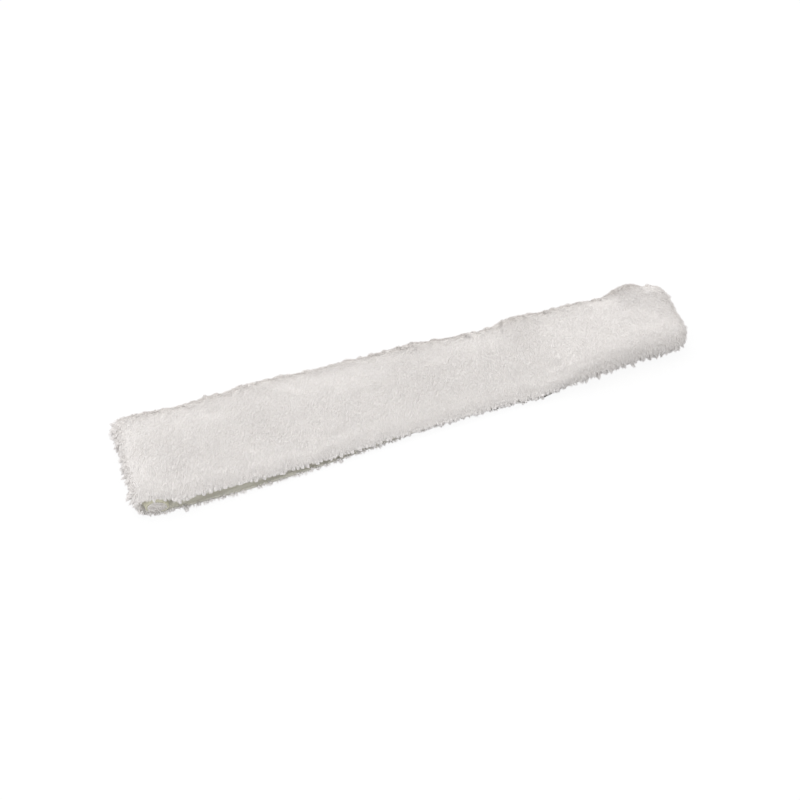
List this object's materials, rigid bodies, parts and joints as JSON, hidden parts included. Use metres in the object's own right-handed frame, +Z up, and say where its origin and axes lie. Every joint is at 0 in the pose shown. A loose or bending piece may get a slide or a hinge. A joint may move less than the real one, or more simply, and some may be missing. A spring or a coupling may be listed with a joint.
{
  "type": "window washer sleeve",
  "caption": "Long fleece sleeve, folded and sewn, with a slit along one edge, that covers the T-bar of a window washer.",
  "frame": {"origin": "on the resting plane, under the middle of the sleeve's overall box", "axes": "+X along the sleeve towards its end that is closed at the front, -Y out of the slit, +Y towards the fold, +Z up"},
  "size_m": [0.456, 0.0853, 0.03],
  "materials": {
    "white_pile": "long soft white pile, matt",
    "ecru_knit": "unbleached knitted ground cloth, matt",
    "white_tape": "woven hook and loop tape, off-white",
    "white_thread": "polyester sewing thread, white"
  },
  "bodies": {
    "root": {"ground_cloth": "ecru_knit", "lower_pile": "white_pile", "upper_pile": "white_pile", "left_seam_allowance": "ecru_knit", "right_seam_allowance": "ecru_knit", "front_seam_allowance": "ecru_knit", "left_seam_overlock": "white_thread", "right_seam_overlock": "white_thread", "front_seam_overlock": "white_thread", "lower_lip_overlock": "white_thread", "upper_lip_overlock": "white_thread", "hook_tape": "white_tape", "loop_tape": "white_tape", "hook_tape_stitching": "white_thread", "loop_tape_stitching": "white_thread", "slit_end_bar_tack": "white_thread"}
  },
  "joints": []
}
